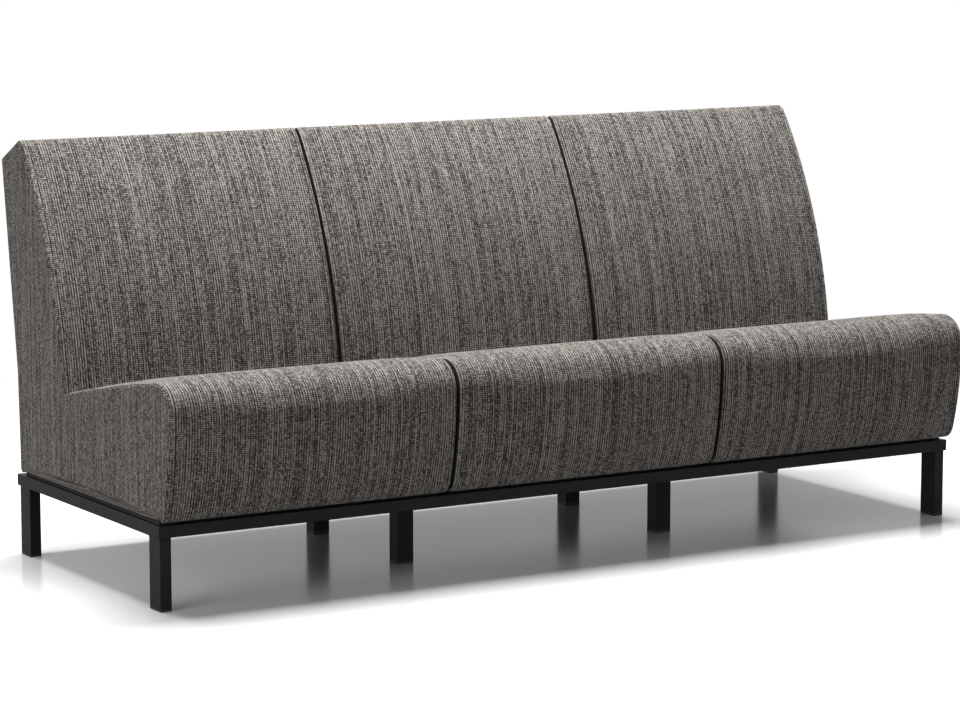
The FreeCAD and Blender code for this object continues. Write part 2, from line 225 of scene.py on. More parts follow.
soft_box("overhead_lamp", place=(0, 0.5, 4.2), target=(0, 0.3, 0), width=3.4, depth=1.8, watts=350)
soft_box("left_lamp", place=(-4.2, -1.2, 1.6), target=(-0.8, 0, 0.5), width=2.4, depth=2.0, watts=36)

# %% [markdown]
# ## The outline of a unit
#
# From the side a unit is an L: a seat that bulges at the front and rolls over into
# a top that falls to the rear, and a back that leans, rolls over and is cut off
# by a bevel. The outline is written as a few points. Each point also says which
# way it falls as the crown runs out towards the ends of the unit, where the seam
# holds the foam down, the bow of the stretch that leads to it, and whether the
# cover is held there, sewn or stapled: 1, or 0 where it is free.
#
# The three units almost touch. The few millimetres between them show as two dark
# lines, partly because little light gets in, and partly because the end panels that
# face into each gap are black cloth, as painted shade.

# %% Outline in millimetres, Y from the base's front face
front_y = base_low.y / MM
rail_top = base_high.z / MM
cover_bottom = rail_top + 7
seat_height = 469
unit_count = 3
unit_gap = 4.6
end_setback = 0.8
row_width = (base_high.x - base_low.x) / MM - 2 * end_setback
unit_width = (row_width - (unit_count - 1) * unit_gap) / unit_count
crown_depth = 8
crown_length = 120

front_line = [
    ((-10, cover_bottom), (0.25, 0), 0, 1),
    ((-35, cover_bottom + 30), (0.6, 0.2), 0.12, 0),
    ((-61, 390), (1, 0), 0.031, 0),
    ((15, seat_height), (0, -1), 0.25, 0),
]
crease = ((441, 389), (0.5, -1), 0.01, 1)
seat_line = front_line + [
    ((424, 392), (0.5, -1), 0.01, 0),
    ((439, 376), (0.5, -1), 0.18, 1),
]
back_top = [
    ((627, 876), (0.4, -0.2), 0.06, 0),
    ((651, 894), (0, 0), 0.082, 0),
    ((657, 894), (0, 0), 0, 1),
    ((745.5, 849.5), (0, 0), 0, 1),
    ((748, 848), (0, 0), 0, 1),
]
back_line = [
    ((441.5, 372), (0.5, -1), 0, 1),
    ((448, 397), (0.5, -1), 0.06, 0),
] + back_top
rear_edge = [
    ((684, 395), (0, 0), 0, 1),
    ((677, cover_bottom + 2), (0, 0), 0, 1),
]
rear_line = [back_top[-1]] + rear_edge + [
    ((674, cover_bottom - 1.5), (0, 0), 0.2, 1),
    ((665, cover_bottom - 1.5), (0, 0), 0, 1),
]
end_line = front_line + [crease] + back_top + rear_edge + [((672, cover_bottom), (0, 0), 0, 1)]
print("a unit is", round(unit_width, 1), "mm wide")

# %% [markdown]
# The inside of a cushion is never seen, but a closed form simulates, measures and
# exports better than an open one. So each line is closed along the timber and
# webbing that the foam rests on.

# %% Inner lines, along what carries the foam
front_board = 16
shelf = 313
deck_front = 388
post_top = 818
seat_inner = [(439, shelf), (421, shelf), (front_board, deck_front), (front_board, cover_bottom)]
back_inner = [(744, 845), (736.5, post_top), (618, post_top), (566, shelf), (441.5, shelf)]
rear_inner = [(665, cover_bottom), (669, cover_bottom), (676, 395), (740.6, 845.5)]
print("the inner lines have", len(seat_inner) + len(back_inner) + len(rear_inner), "corners")


# %% [markdown]
# A stretch with a bow is a piece of a circle. Its rise over the chord is a share
# of the chord's length, which is easy to read off a picture, and the same share
# keeps its look when the sofa is resized. The points are spaced evenly, because
# cloth that is simulated on even quads stretches evenly.

# %% Points along a bowed line
def bowed(start, end, bow, count):
    """count points from just after start up to end, on an arc with that bow."""
    run = (end[0] - start[0], end[1] - start[1])
    half = 2 * math.atan(2 * bow)
    points = []
    for i in range(1, count + 1):
        along = i / count
        rise = 0.0
        if bow:
            radius = 1 / (2 * math.sin(half))
            turn = half * (2 * along - 1)
            along = 0.5 + radius * math.sin(turn)
            rise = radius * (math.cos(turn) - math.cos(half))
        points.append((start[0] + run[0] * along - run[1] * rise, start[1] + run[1] * along + run[0] * rise))
    return points


def counts(line, step):
    """How many points each stretch of a line gets."""
    return [max(1, round(math.dist(a[0], b[0]) / step)) for a, b in zip(line, line[1:])]


def fall(distance):
    """How far the crown has fallen at that distance from the nearer end."""
    return crown_depth * (1 - min(distance, crown_length) / crown_length) ** 2


def line_points(line, step, distance):
    """The line's points at a distance from the nearer end."""
    drop = fall(distance)
    places = [(p[0] + f[0] * drop, p[1] + f[1] * drop) for p, f, _, _ in line]
    points = [places[0]]
    for a, b, stretch, count in zip(places, places[1:], line[1:], counts(line, step)):
        points += bowed(a, b, stretch[2], count)
    return points


def spread(line, step, values):
    """One value for each of the line's points, straight between those given."""
    result = [values[0]]
    for a, b, count in zip(values, values[1:], counts(line, step)):
        result += [a + (b - a) * i / count for i in range(1, count + 1)]
    return result


print(len(line_points(seat_line, 10, 300)), "points along the seat")


# %% [markdown]
# The ends of a cushion are rounded where the cover turns the corner to the end
# panel. The seam lies half way round that corner. There both covers dip a little
# and fold inwards, which is what makes a sewn seam show as a fine line.

# %% Rounded corners with a seam
def inset(points, depths, closed=False):
    """The points moved inwards, to the right of their direction, each by its depth."""
    moved = []
    last = len(points) - 1
    for i, (point, depth) in enumerate(zip(points, depths)):
        ends = []
        if i or closed:
            ends.append((points[i - 1], point))
        if i < last or closed:
            ends.append((point, points[(i + 1) % len(points)]))
        sides = [((b[1] - a[1]) / math.dist(a, b), (a[0] - b[0]) / math.dist(a, b)) for a, b in ends]
        side = [sum(s[k] for s in sides) for k in range(2)]
        scale = depth * len(sides) / (side[0] ** 2 + side[1] ** 2)
        moved.append((point[0] + side[0] * scale, point[1] + side[1] * scale))
    return moved


seam_dip = 0.9
fold_depth = 3.4
seam_turn = 45
seat_radius = 7
back_radius = 4


def corner(radius, turn):
    """(distance from the end face, inset) on a rounded corner: at 90 degrees it is the strip's face."""
    angle = math.radians(turn)
    dip = seam_dip if turn == seam_turn else 0
    away = radius * (1 - math.cos(angle)) + dip * math.cos(angle)
    deep = radius * (1 - math.sin(angle)) + dip * math.sin(angle)
    return away, deep


print("the seam of a seat lies", [round(part, 1) for part in corner(seat_radius, seam_turn)], "mm in")


# %% [markdown]
# ## Cushion meshes
#
# A cushion is woven from two families of lines: the outline, and the stations
# along its length. Every vertex also keeps where it lies on the cloth: how far
# across the warp, how far along it, and how far from the seam. The weave is drawn
# from those, so the threads follow the cloth round each corner.

# %% Stations along a unit, and meshes that know their cloth
cloth_cell = 11
strip_turns = (seam_turn, 52, 62, 75, 90)
first_step = 4
second_step = 9


def stations(radius):
    """(distance from the left end, inset) along a unit, with fine steps at both ends."""
    near = [(fold_depth, fold_depth)] + [corner(radius, turn) for turn in strip_turns]
    near += [(radius + first_step, 0)]
    start = radius + second_step
    count = round((unit_width / 2 - start) / cloth_cell)
    near += [(start + (unit_width / 2 - start) * i / count, 0) for i in range(count + 1)]
    return near + [(unit_width - place, deep) for place, deep in reversed(near[:-1])]


def build_mesh(name, vertices, faces, places):
    """Mesh in metres from millimetres, with each vertex's place on the cloth."""
    mesh = bpy.data.meshes.new(name)
    mesh.from_pydata([(x * MM, (y + front_y) * MM, z * MM) for x, y, z in vertices], [], faces)
    layer = mesh.attributes.new("cloth_place", "FLOAT_VECTOR", "POINT")
    for item, place in zip(layer.data, places):
        item.vector = [value * MM for value in place]
    work = bmesh.new()
    work.from_mesh(mesh)
    bmesh.ops.recalc_face_normals(work, faces=work.faces)
    work.to_mesh(mesh)
    work.free()
    for face in mesh.polygons:
        face.use_smooth = True
    return mesh


print(len(stations(seat_radius)), "stations along a seat")


# %% [markdown]
# The foam starts a few millimetres small wherever the cover is free, so that the
# simulation can blow it up to its true size. The hold of a seam or of staples fades
# out over the next few centimetres of cloth.

# %% Closed cushion from an outline
swell = 4
hold_reach = 35
hold_fade = 40


def smooth_step(value):
    """From 0 to 1, level at both ends."""
    value = min(max(value, 0), 1)
    return value * value * (3 - 2 * value)


def cushion(name, line, inner, radius, along_start=0.0):
    """Closed strip of cover along X with what it holds: (mesh, hold of each vertex, cloth used)."""
    middle = line_points(line, cloth_cell, crown_length)
    along = [along_start]
    for a, b in zip(middle, middle[1:]):
        along.append(along[-1] + math.dist(a, b))
    flags = spread(line, cloth_cell, [point[3] for point in line])
    sewn = [place for place, flag in zip(along, flags) if flag == 1]
    held = [1 - smooth_step(min(abs(place - other) for other in sewn) / hold_reach) for place in along]
    ring = len(middle) + len(inner)
    vertices, places, holds = [], [], []
    for x, deep in stations(radius):
        near = min(x, unit_width - x)
        room = smooth_step((near - radius) / hold_fade)
        depths = [deep + swell * room * (1 - hold) for hold in held]
        for j, (y, z) in enumerate(inset(line_points(line, cloth_cell, near), depths)):
            vertices.append((x, y, z))
            places.append((x, along[j], near))
            holds.append(max(held[j], 1 - room))
        for y, z in inner:
            vertices.append((x, y, z))
            places.append((x, along[-1], near))
            holds.append(1)
    faces = []
    last = len(vertices) // ring - 1
    for i in range(last):
        for j in range(ring):
            k = (j + 1) % ring
            faces.append((i * ring + j, i * ring + k, (i + 1) * ring + k, (i + 1) * ring + j))
    for i in (0, last):
        loop = [Vector((0, *vertices[i * ring + j][1:])) for j in range(ring)]
        faces += [tuple(i * ring + j for j in triangle) for triangle in tessellate_polygon([loop])]
    mesh = build_mesh(name, vertices, faces, places)
    print(name, len(vertices), "vertices,", round(along[-1] - along_start), "mm of cloth along the outline")
    return mesh, holds, along[-1]


print("a free cover starts", swell, "mm small")


# %% [markdown]
# ## Letting the cover swell
#
# A real cover is cut a little small and pulled over foam, which pushes back. The
# cloth simulation does the same: it blows the cushion up from inside, while the
# seams, the crease and the stapled edges stay where they are. Gravity is off,
# because foam carries the cover. How far a point may move is capped, so that the
# size stays true, and the result is written into the mesh.

# %% Cloth simulation
cloth_frames = 20
foam_pressure = 4


def inflate(mesh, holds, pressure, cap):
    """Swells a cushion's mesh by pressure, where it isn't held, by cap millimetres at most."""
    scene = bpy.context.scene
    work = bpy.data.objects.new("swelling", mesh.copy())
    scene.collection.objects.link(work)
    group = work.vertex_groups.new(name="held")
    for index, hold in enumerate(holds):
        group.add([index], hold, "REPLACE")
    modifier = work.modifiers.new("cloth", "CLOTH")
    cloth = modifier.settings
    cloth.quality = 6
    cloth.mass = 0.3
    cloth.tension_stiffness = 25
    cloth.compression_stiffness = 25
    cloth.shear_stiffness = 12
    cloth.bending_stiffness = 4
    cloth.vertex_group_mass = "held"
    cloth.use_pressure = True
    cloth.uniform_pressure_force = pressure
    cloth.effector_weights.gravity = 0
    modifier.point_cache.frame_start = 1
    modifier.point_cache.frame_end = cloth_frames
    for step in range(1, cloth_frames + 1):
        scene.frame_set(step)
    swollen = work.evaluated_get(bpy.context.evaluated_depsgraph_get()).data
    moves = []
    for vertex, target in zip(mesh.vertices, swollen.vertices):
        move = target.co - vertex.co
        moves.append(move.length / MM)
        if move.length > cap * MM:
            move *= cap * MM / move.length
        vertex.co += move
    scene.frame_set(1)
    bpy.data.objects.remove(work)
    print(mesh.name, "swelled by up to", round(max(moves), 1), "mm, kept to", cap)


print("the cloth runs for", cloth_frames, "frames")


# %% [markdown]
# The cover of a unit is three strips across its width: seat, back and rear. Each
# goes on with the cloth where the one before it ended. The rear strip is stretched
# flat over thin board, so only the other two are swelled.

# %% The three strips of a unit
seat_mesh, seat_holds, cloth_used = cushion("seat", seat_line, seat_inner, seat_radius)
back_mesh, back_holds, cloth_used = cushion("back", back_line, back_inner, back_radius, cloth_used)
rear_mesh = cushion("rear", rear_line, rear_inner, back_radius, cloth_used)[0]
inflate(seat_mesh, seat_holds, foam_pressure, swell)
inflate(back_mesh, back_holds, foam_pressure, swell)


# %% [markdown]
# ## End panels
#
# One flat L-shaped panel closes each end of a unit, sewn all round to the strips.
# Its edge follows the same outline, rounded from its side of the seam. Inside that
# edge the face has no natural rows, so it is filled with even triangles.

# %% L-shaped end panel
crease_radius = 5
panel_bulge = 0.4
bulge_reach = 60
panel_back = 1.6
panel_rim = 8
panel_turns = (seam_turn, 37, 26, 13, 0)
rim_clearance = 0.6 * cloth_cell
triangles_inside = 1
same_spot = 1e-6


def inside_loop(spot, loop):
    """Whether a point lies inside a closed loop."""
    inside = False
    for a, b in zip(loop, loop[1:] + loop[:1]):
        if (a.y > spot.y) != (b.y > spot.y):
            if spot.x < a.x + (b.x - a.x) * (spot.y - a.y) / (b.y - a.y):
                inside = not inside
    return inside


def end_panel(name):
    """Closed padded panel for the left end of a unit, which faces -X."""
    outline = line_points(end_line, cloth_cell, 0)
    radii = [seat_radius] * len(front_line) + [crease_radius]
    radii += [back_radius] * (len(end_line) - len(radii) - 1) + [seat_radius]
    radii = spread(end_line, cloth_cell, radii)
    vertices, rows = [], []

    def row(outline_depths, aways):
        """One more row of vertices along the outline."""
        ring = inset(outline, outline_depths, closed=True)
        rows.append(range(len(vertices), len(vertices) + len(ring)))
        vertices.extend((away, y, z) for away, (y, z) in zip(aways, ring))

    row([panel_rim] * len(outline), [panel_back] * len(outline))
    row([fold_depth] * len(outline), [fold_depth] * len(outline))
    for turn in panel_turns:
        spots = [corner(radius, turn) for radius in radii]
        row([deep for _, deep in spots], [away for away, _ in spots])
    seam = [vertices[i][1:] for i in rows[2]]
    faces = []
    size = len(outline)
    for first, second in zip(rows, rows[1:]):
        for j in range(size):
            k = (j + 1) % size
            faces.append((first[j], first[k], second[k], second[j]))
    back_loop = [Vector((0, *vertices[i][1:])) for i in rows[0]]
    faces += [tuple(rows[0][j] for j in triangle) for triangle in tessellate_polygon([back_loop])]

    rim = [Vector(vertices[i][1:]) for i in rows[-1]]
    inside = []
    low = [min(p[k] for p in rim) for k in range(2)]
    high = [max(p[k] for p in rim) for k in range(2)]
    for a in range(int((high[0] - low[0]) / cloth_cell) + 1):
        for b in range(int((high[1] - low[1]) / cloth_cell) + 1):
            spot = Vector((low[0] + (a + 0.5 * (b % 2)) * cloth_cell, low[1] + b * cloth_cell))
            if inside_loop(spot, rim) and min((spot - p).length for p in rim) > rim_clearance:
                inside.append(spot)
    edges = [(j, (j + 1) % size) for j in range(size)]
    filled = delaunay_2d_cdt(rim + inside, edges, [], triangles_inside, same_spot)
    spots, _, triangles, origins = filled[:4]
    index_of = []
    for spot, origin in zip(spots, origins):
        if origin and origin[0] < size:
            index_of.append(rows[-1][origin[0]])
        else:
            index_of.append(len(vertices))
            deep = min((spot - p).length for p in rim)
            vertices.append((-panel_bulge * smooth_step(deep / bulge_reach), spot.x, spot.y))
    faces += [tuple(index_of[j] for j in triangle) for triangle in triangles]
    places = [(y, z, min(math.dist((y, z), p) for p in seam)) for _, y, z in vertices]
    print(name, len(vertices), "vertices")
    return build_mesh(name, vertices, faces, places)


panel_mesh = end_panel("end_panel")

# %% [markdown]
# ## Upholstery fabric
#
# The cover is a coarse melange: a plain weave of slub yarn, in which each thread
# goes over one and under the next. The warp yarn was dyed unevenly, so it shows
# as fine streaks a hand long, and every other thread is paler. That gives columns
# of dots, strong in some patches and almost gone in others. Wool and polyester
# scatter light, so the surface is matt, with a faint sheen, and a seam puckers a
# little at each stitch.
#
# The real threads are about 1.5 mm apart, which is under a pixel in the picture.
# They are drawn coarser, 2.9 mm across and 4.2 mm along, so that a weave shows.
# The gaps between the rows are painted darker, as painted shade.

# %% Melange plain weave
warp_pitch = 2.9
weft_pitch = 4.2
streak_length = 90
stitch_length = 9
seam_reach = 6
band_size = (20, 350)
patch_size = (25, 40)
thread_offset = 7.31


def melange_weave():
    """Matt grey cloth: streaked warp, patchy checker, round threads, painted shade between rows."""
    material, tree, shader = new_material("melange_plain_weave", roughness=0.95, ior=1.45, specular=0.25)
    shader.inputs["Sheen Weight"].default_value = 0.1
    shader.inputs["Sheen Roughness"].default_value = 0.5
    cloth = add(tree, "Attribute", attribute_name="cloth_place")
    place = add(tree, "SeparateXYZ", {0: cloth.outputs["Vector"]})
    x, y, from_seam = (place.outputs[axis] for axis in "XYZ")
    across = add(tree, "Math", {0: x, 1: warp_pitch * MM}, operation="DIVIDE")
    along = add(tree, "Math", {0: y, 1: weft_pitch * MM}, operation="DIVIDE")
    warp = add(tree, "Math", {0: across}, operation="FLOOR")
    weft = add(tree, "Math", {0: along}, operation="FLOOR")

    # each warp thread has its own shade, which also drifts along it; bands of some
    # ten threads and patches of stronger checker are faint
    shades = add(tree, "TexWhiteNoise", {"W": warp}, noise_dimensions="1D")
    thread = add(tree, "Math", {0: warp, 1: thread_offset}, operation="MULTIPLY")
    length = add(tree, "Math", {0: y, 1: streak_length * MM}, operation="DIVIDE")
    streak_place = add(tree, "CombineXYZ", {"X": thread, "Y": length})
    streaks = add(tree, "TexNoise", {"Vector": streak_place, "Scale": 1.0, "Detail": 2.0})
    band_scale = (1 / (band_size[0] * MM), 1 / (band_size[1] * MM), 0)
    band_place = add(tree, "VectorMath", {0: cloth.outputs["Vector"], 1: band_scale}, operation="MULTIPLY")
    bands = add(tree, "TexNoise", {"Vector": band_place, "Scale": 1.0, "Detail": 2.0})
    patch_scale = (1 / (patch_size[0] * MM), 1 / (patch_size[1] * MM), 0)
    patch_place = add(tree, "VectorMath", {0: cloth.outputs["Vector"], 1: patch_scale}, operation="MULTIPLY")
    patches = add(tree, "TexNoise", {"Vector": patch_place, "Scale": 1.0, "Detail": 1.0})
    contrast = add(tree, "MapRange", {"Value": patches, "From Min": 0.35, "From Max": 0.65, "To Min": 0.20,
                                      "To Max": 0.50}, interpolation_type="SMOOTHSTEP")
    crossing = add(tree, "CombineXYZ", {"X": warp, "Y": weft})
    grain = add(tree, "TexWhiteNoise", {"Vector": crossing}, noise_dimensions="2D")

    # each thread is round; its profile also paints the gaps between rows dark, as painted shade
    warp_share = add(tree, "Math", {0: across}, operation="FRACT")
    weft_share = add(tree, "Math", {0: along}, operation="FRACT")
    warp_turn = add(tree, "Math", {0: warp_share, 1: math.pi}, operation="MULTIPLY")
    weft_turn = add(tree, "Math", {0: weft_share, 1: math.pi}, operation="MULTIPLY")
    warp_top = add(tree, "Math", {0: warp_turn}, operation="SINE")
    weft_height_and_row_shade = add(tree, "Math", {0: weft_turn}, operation="SINE")

    # every other crossing has the warp on top, and every other warp thread is paler
    crossings = add(tree, "Math", {0: warp, 1: weft}, operation="ADD")
    over = add(tree, "Math", {0: crossings, 1: 1.0}, operation="PINGPONG")
    paler = add(tree, "Math", {0: warp, 1: 1.0}, operation="PINGPONG")
    swing = add(tree, "Math", {0: paler, 1: 0.5}, operation="SUBTRACT")
    # the weft profile in the tone is painted shade in the gaps between rows
    tone = -0.63
    for part, share in ((streaks, 0.6), (shades, 0.28), (bands, 0.3), (grain, 0.50), (weft_height_and_row_shade, 0.45),
                        (swing, contrast)):
        tone = add(tree, "Math", {0: part, 1: share, 2: tone}, operation="MULTIPLY_ADD")
    ramp = add(tree, "ValToRGB", {"Fac": tone})
    stops = ramp.color_ramp.elements
    stops[0].position = 0.1
    stops[0].color = linear("1a1817")
    stops[1].position = 0.9
    stops[1].color = linear("a8a29b")
    middle = stops.new(0.5)
    middle.color = linear("5c5855")
    tree.links.new(ramp.outputs["Color"], shader.inputs["Base Color"])

    height = add(tree, "Mix", {"Factor": over, "A": warp_top, "B": weft_height_and_row_shade})
    threads = add(tree, "Bump", {"Height": height, "Strength": 0.5, "Distance": 0.6 * MM})

    # stitches pull the cloth into small puckers beside the seam
    seam_way = add(tree, "Math", {0: x, 1: y}, operation="ADD")
    stitches = add(tree, "Math", {0: seam_way, 1: math.tau / (stitch_length * MM)}, operation="MULTIPLY")
    wave = add(tree, "Math", {0: stitches}, operation="SINE")
    near = add(tree, "MapRange", {"Value": from_seam, "From Max": seam_reach * MM, "To Min": 1.0,
                                  "To Max": 0.0})
    pucker = add(tree, "Math", {0: wave, 1: near}, operation="MULTIPLY")
    puckers = add(tree, "Bump", {"Height": pucker, "Strength": 0.4, "Distance": 0.5 * MM,
                                 "Normal": threads})
    tree.links.new(puckers.outputs[0], shader.inputs["Normal"])
    return material


melange = melange_weave()
print(len(melange.node_tree.nodes), "nodes in", melange.name)


# %% [markdown]
# ## Black cambric, and painted shade between the units
#
# An upholsterer staples cheap black non-woven cambric under the seat. It is bonded
# in a pattern of tiny dots that dimple it. The same black cloth covers the end
# panels where two units stand side by side: there it is painted shade, a black
# sheet where there is only shadow, which makes the narrow gap look black from in front.

# %% Black non-woven cambric, also painted gap shade
fibre_clump = 6
dot_pitch = 2


def cambric():
    """Dull black cloth of bonded fibres, dimpled by tiny dots."""
    material, tree, shader = new_material("black_cambric_dust_and_gap_shade", roughness=0.9, ior=1.5, specular=0.2)
    place = add(tree, "TexCoord").outputs["Object"]
    fibres = add(tree, "TexNoise", {"Vector": place, "Scale": 1 / (fibre_clump * MM), "Detail": 5.0,
                                    "Roughness": 0.7})
    ramp = add(tree, "ValToRGB", {"Fac": fibres})
    ramp.color_ramp.elements[0].color = linear("171717")
    ramp.color_ramp.elements[1].color = linear("323130")
    tree.links.new(ramp.outputs["Color"], shader.inputs["Base Color"])
    dots = add(tree, "TexVoronoi", {"Vector": place, "Scale": 1 / (dot_pitch * MM), "Randomness": 0.1})
    bump = add(tree, "Bump", {"Height": dots.outputs["Distance"], "Strength": 0.5, "Distance": 0.2 * MM})
    tree.links.new(bump.outputs[0], shader.inputs["Normal"])
    return material


# one black cloth: the dust cloths, and painted shade on end panels between units
cambric_dust_and_gap_shade = cambric()
print(len(cambric_dust_and_gap_shade.node_tree.nodes), "nodes in", cambric_dust_and_gap_shade.name)


# %% [markdown]
# ## Three units
#
# All units are sewn from the same patterns, so each gets its own copies of the
# meshes. A roll of cloth never repeats, so each also gets its own stretch of the
# weave. The right end panel is the left one mirrored, and a panel between two units
# is black cloth, as painted shade in the gap. Every piece names the solids that it
# stands in for.

# %% Place the covers on every unit
unit_stretch = 0.9


def piece(name, mesh, left, across_shift, replaced, mirrored=False, painted_gap_shade=False):
    """One piece of a unit: its own copy of a mesh, with its own stretch of the cloth."""
    own = mesh.copy()
    own.name = name
    for vertex in own.vertices:
        x = unit_width * MM - vertex.co.x if mirrored else vertex.co.x
        vertex.co.x = x + left * MM
    if mirrored:
        own.flip_normals()
    for item in own.attributes["cloth_place"].data:
        item.vector.x += across_shift
    own.materials.clear()
    # a panel that faces another unit is black cloth: painted shade in the gap
    own.materials.append(cambric_dust_and_gap_shade if painted_gap_shade else melange)
    made = bpy.data.objects.new(name, own)
    bpy.context.scene.collection.objects.link(made)
    smooth = made.modifiers.new("smooth", "SUBSURF")
    smooth.levels = 1
    smooth.render_levels = 1
    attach(made, "root")
    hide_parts(*replaced)


unit_names = ("left", "middle", "right")
for index, unit in enumerate(unit_names):
    left = base_low.x / MM + end_setback + index * (unit_width + unit_gap)
    shift = unit_stretch * index
    for part, mesh in (("seat", seat_mesh), ("back", back_mesh)):
        replaced = [unit + "_" + part + "_cover", unit + "_" + part + "_foam"]
        piece(unit + "_" + part + "_cushion", mesh, left, shift, replaced)
    piece(unit + "_rear_panel", rear_mesh, left, shift, [unit + "_rear_cover"])
    for side, mirrored, more in (("left", False, 3), ("right", True, 5)):
        # end panels that face another unit are painted shade for the gap between them
        faces_gap = index < unit_count - 1 if mirrored else index > 0
        piece(unit + "_" + side + "_end_panel", panel_mesh, left, shift + more, [unit + "_end_covers"],
              mirrored, painted_gap_shade=faces_gap)
    print(unit, "unit starts at", round(left, 1), "mm")


# %% [markdown]
# ## Powder coat on the steel base
#
# Powder is sprayed on dry and melted, so it flows into a satin skin with a fine
# orange peel. The eye gets a very dark grey with a soft, broken highlight. A bump
# from a noise about 2 mm wide makes that, where a smooth black would look like glass.

# %% Satin black powder coat
coat_cloud = 71.4
coat_flow = 8.33
peel_pitch = 2.2


def powder_coat():
    """Very dark grey satin skin with a fine orange peel."""
    material, tree, shader = new_material("satin_black_powder_coat", roughness=0.5, ior=1.5, specular=0.2)
    place = add(tree, "TexCoord").outputs["Object"]
    cloudy = add(tree, "TexNoise", {"Vector": place, "Scale": 1 / (coat_cloud * MM), "Detail": 2.0})
    ramp = add(tree, "ValToRGB", {"Fac": cloudy})
    ramp.color_ramp.elements[0].color = linear("161617")
    ramp.color_ramp.elements[1].color = linear("1e1e20")
    tree.links.new(ramp.outputs["Color"], shader.inputs["Base Color"])
    flow = add(tree, "TexNoise", {"Vector": place, "Scale": 1 / (coat_flow * MM), "Detail": 1.0})
    gloss = add(tree, "MapRange", {"Value": flow, "To Min": 0.42, "To Max": 0.58})
    tree.links.new(gloss.outputs[0], shader.inputs["Roughness"])
    peel = add(tree, "TexNoise", {"Vector": place, "Scale": 1 / (peel_pitch * MM), "Detail": 1.0})
    bump = add(tree, "Bump", {"Height": peel, "Strength": 0.3, "Distance": 0.08 * MM})
    tree.links.new(bump.outputs[0], shader.inputs["Normal"])
    return material


black_steel = powder_coat()
print(len(black_steel.node_tree.nodes), "nodes in", black_steel.name)

# %% [markdown]
# ## Small hardware
#
# The glides are moulded nylon, which leaves the mould with a fine even grain and
# scuffs to a paler grey where it meets the floor. The screws and tee nuts are zinc
# plated: a thin bright metal, slightly blue here and yellow there, a little
# blotched, so its colour and its roughness both come from slow noises.

# %% Moulded nylon and zinc plate
scuff_height = 2.5
scuff_size = 3.33
mould_grain = 0.8
zinc_blotch = 3.85


def moulded_nylon():
    """Black plastic with a fine grain, scuffed where it meets the floor."""
    material, tree, shader = new_material("moulded_black_nylon", roughness=0.45, ior=1.53, specular=0.4)
    place = add(tree, "TexCoord").outputs["Object"]
    height = add(tree, "SeparateXYZ", {0: place})
    worn = add(tree, "MapRange", {"Value": height.outputs["Z"], "From Max": scuff_height * MM, "To Min": 1.0,
                                  "To Max": 0.0})
    patchy = add(tree, "TexNoise", {"Vector": place, "Scale": 1 / (scuff_size * MM), "Detail": 3.0})
    scuffs = add(tree, "Math", {0: worn, 1: patchy}, operation="MULTIPLY")
    ramp = add(tree, "ValToRGB", {"Fac": scuffs})
    ramp.color_ramp.elements[0].color = linear("151515")
    ramp.color_ramp.elements[1].color = linear("4c4b49")
    tree.links.new(ramp.outputs["Color"], shader.inputs["Base Color"])
    grain = add(tree, "TexNoise", {"Vector": place, "Scale": 1 / (mould_grain * MM), "Detail": 1.0})
    bump = add(tree, "Bump", {"Height": grain, "Strength": 0.3, "Distance": 0.05 * MM})
    tree.links.new(bump.outputs[0], shader.inputs["Normal"])
    return material


def zinc_plate():
    """Bright metal, a little blotched."""
    material, tree, shader = new_material("bright_zinc_plate", metallic=1.0, roughness=0.32)
    place = add(tree, "TexCoord").outputs["Object"]
    blotches = add(tree, "TexNoise", {"Vector": place, "Scale": 1 / (zinc_blotch * MM), "Detail": 2.0})
    ramp = add(tree, "ValToRGB", {"Fac": blotches})
    ramp.color_ramp.elements[0].color = linear("b4bac4")
    ramp.color_ramp.elements[1].color = linear("d6d2c4")
    tree.links.new(ramp.outputs["Color"], shader.inputs["Base Color"])
    gloss = add(tree, "MapRange", {"Value": blotches, "To Min": 0.24, "To Max": 0.42})
    tree.links.new(gloss.outputs[0], shader.inputs["Roughness"])
    return material


black_nylon = moulded_nylon()
bright_zinc = zinc_plate()
print("made", black_nylon.name, "and", bright_zinc.name)

# %% [markdown]
# ## Timber
#
# The units' frames are birch plywood: pale, with fine grain along each board and
# slow changes from one part of the veneer to the next. Grain is a noise that is
# stretched along the board, and which way that is comes from the face's own
# direction. The base boards are the same plywood with a black stain, which hides
# most of the grain but soaks deeper into the softer wood. Hardboard is pressed
# fibre: brown, mottled in clumps of a few millimetres.

# %% Plywood and hardboard
grain_length = 250
grain_width = 4
veneer_patch = 200
fibre_lump = 5


